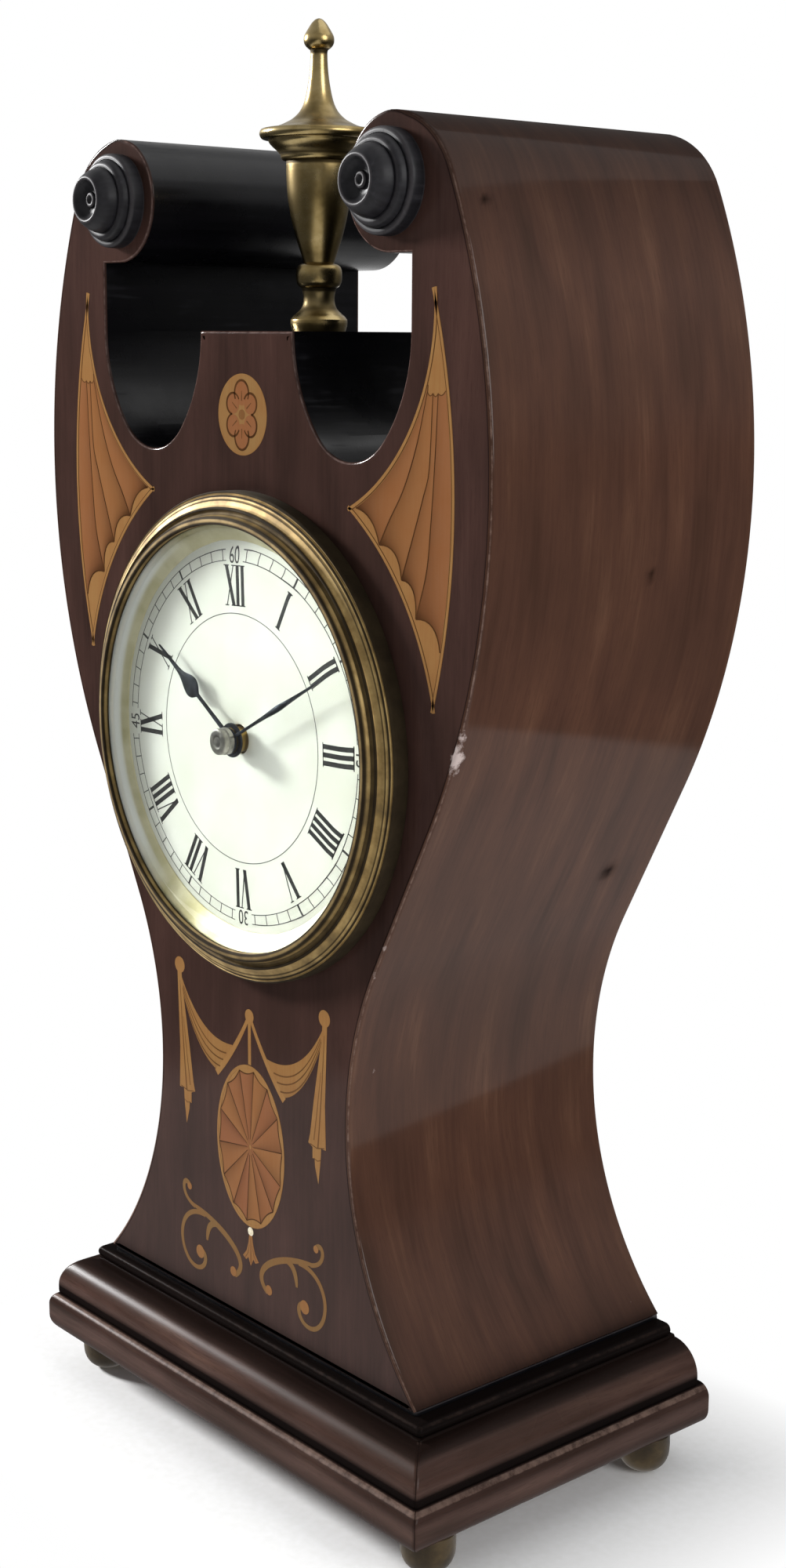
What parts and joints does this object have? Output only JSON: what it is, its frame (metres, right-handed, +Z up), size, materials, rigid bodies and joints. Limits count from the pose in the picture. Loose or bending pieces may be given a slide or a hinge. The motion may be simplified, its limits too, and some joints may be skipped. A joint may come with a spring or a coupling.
{
  "type": "balloon mantel clock",
  "caption": "Inlaid mahogany balloon mantel clock with ebonised scroll horns, brass urn finial, enamel dial and a drum movement wound and set from the back.",
  "frame": {"origin": "on the floor under the middle of the plinth slab", "axes": "+Z up, dial faces -Y, +X to the right of the dial as seen"},
  "size_m": [0.143, 0.0842, 0.3],
  "materials": {
    "mahogany_veneer": "satin polish",
    "ebonised_wood": "polished black",
    "satinwood_inlay": "satin polish",
    "aged_brass": "aged lacquer",
    "movement_brass": "brushed",
    "bright_steel": "polished",
    "blued_steel": "dark blued",
    "bevelled_glass": "clear bevelled",
    "white_enamel": "gloss enamel"
  },
  "bodies": {
    "case": {"bun_feet": "aged_brass", "foot_studs": "bright_steel", "plinth_slab": "mahogany_veneer", "plinth_ovolo": "mahogany_veneer", "plinth_bead": "mahogany_veneer", "base_fillet": "ebonised_wood", "front_board": "mahogany_veneer", "back_board": "mahogany_veneer", "left_side": "mahogany_veneer", "right_side": "mahogany_veneer", "left_horn": "ebonised_wood", "right_horn": "ebonised_wood", "left_throat": "ebonised_wood", "right_throat": "ebonised_wood", "pediment_block": "ebonised_wood", "left_roundel": "ebonised_wood", "right_roundel": "ebonised_wood", "finial_foot": "aged_brass", "finial_urn": "aged_brass", "finial_cover": "aged_brass", "finial_rod": "bright_steel", "shell_inlays": "satinwood_inlay", "patera_inlay": "satinwood_inlay", "swag_inlay": "satinwood_inlay", "oval_inlay": "satinwood_inlay", "scroll_inlays": "satinwood_inlay", "bezel": "aged_brass", "glass": "bevelled_glass", "sight_ring": "aged_brass", "dial": "white_enamel", "drum_shell": "movement_brass", "clamp_ring": "movement_brass", "clamp_screws": "bright_steel", "front_plate": "movement_brass", "back_plate": "movement_brass", "pillars": "movement_brass", "movement_screws": "bright_steel", "door_hinge": "movement_brass", "hinge_pin": "bright_steel"},
    "minute_work": {"minute_hand": "blued_steel", "hand_collet": "bright_steel", "cannon_pinion": "bright_steel", "centre_arbor": "bright_steel", "set_knob": "movement_brass"},
    "hour_work": {"hour_hand": "blued_steel", "hour_wheel": "movement_brass"},
    "minute_wheel": {"minute_wheel": "movement_brass"},
    "barrel": {"barrel": "movement_brass"},
    "centre_wheel": {"centre_wheel": "movement_brass"},
    "third_wheel": {"third_wheel": "movement_brass"},
    "fourth_wheel": {"fourth_wheel": "movement_brass"},
    "escape_wheel": {"escape_wheel": "bright_steel"},
    "winding_work": {"barrel_arbor": "bright_steel", "ratchet_wheel": "bright_steel", "winding_key": "movement_brass"},
    "click": {"click": "bright_steel"},
    "lever": {"lever": "bright_steel"},
    "balance": {"balance": "movement_brass"},
    "back_door": {"back_door": "movement_brass", "door_knob": "movement_brass"}
  },
  "joints": [
    {"name": "hands_set", "type": "hinge", "parent": "case", "child": "minute_work", "pos_m": [0, 0, 0.1589], "axis": [0, 1, 0], "continuous": true},
    {"name": "hour_turn", "type": "hinge", "parent": "case", "child": "hour_work", "pos_m": [0, 0, 0.1589], "axis": [0, 1, 0], "continuous": true},
    {"name": "minute_wheel_turn", "type": "hinge", "parent": "case", "child": "minute_wheel", "pos_m": [0.0096, 0, 0.1589], "axis": [0, 1, 0], "continuous": true},
    {"name": "fourth_turn", "type": "hinge", "parent": "case", "child": "fourth_wheel", "pos_m": [-0.00311, 0, 0.17732], "axis": [0, 1, 0], "continuous": true},
    {"name": "third_turn", "type": "hinge", "parent": "case", "child": "third_wheel", "pos_m": [0.0072, 0, 0.17137], "axis": [0, 1, 0], "continuous": true},
    {"name": "centre_turn", "type": "hinge", "parent": "case", "child": "centre_wheel", "pos_m": [0, 0, 0.1589], "axis": [0, 1, 0], "continuous": true},
    {"name": "barrel_turn", "type": "hinge", "parent": "case", "child": "barrel", "pos_m": [0, 0, 0.14], "axis": [0, 1, 0], "continuous": true},
    {"name": "escape_turn", "type": "hinge", "parent": "case", "child": "escape_wheel", "pos_m": [-0.01391, 0, 0.17732], "axis": [0, 1, 0], "continuous": true},
    {"name": "winding_turn", "type": "hinge", "parent": "case", "child": "winding_work", "pos_m": [0, 0, 0.14], "axis": [0, 1, 0], "continuous": true},
    {"name": "click_lift", "type": "hinge", "parent": "case", "child": "click", "pos_m": [0.0094, 0, 0.146], "axis": [0, -1, 0], "range_deg": [0, 20], "stiffness_Nm_per_rad": 0.0004, "springref_deg": -11.46},
    {"name": "lever_rock", "type": "hinge", "parent": "case", "child": "lever", "pos_m": [-0.01754, 0, 0.17357], "axis": [0, 1, 0], "range_deg": [-5, 5]},
    {"name": "balance_swing", "type": "hinge", "parent": "case", "child": "balance", "pos_m": [-0.024, 0, 0.1669], "axis": [0, 1, 0], "range_deg": [-150, 150], "stiffness_Nm_per_rad": 0.00001},
    {"name": "door_swing", "type": "hinge", "parent": "case", "child": "back_door", "pos_m": [0.0418, 0.03985, 0.1589], "axis": [0, 0, -1], "range_deg": [0, 115]}
  ],
  "couplings": [
    {"joint": "hour_turn", "follows": "hands_set", "ratio": 0.083333},
    {"joint": "minute_wheel_turn", "follows": "hands_set", "ratio": -0.33333},
    {"joint": "third_turn", "follows": "fourth_turn", "ratio": -0.13333},
    {"joint": "centre_turn", "follows": "fourth_turn", "ratio": 0.016667},
    {"joint": "barrel_turn", "follows": "fourth_turn", "ratio": -0.0027778},
    {"joint": "escape_turn", "follows": "fourth_turn", "ratio": -8}
  ]
}
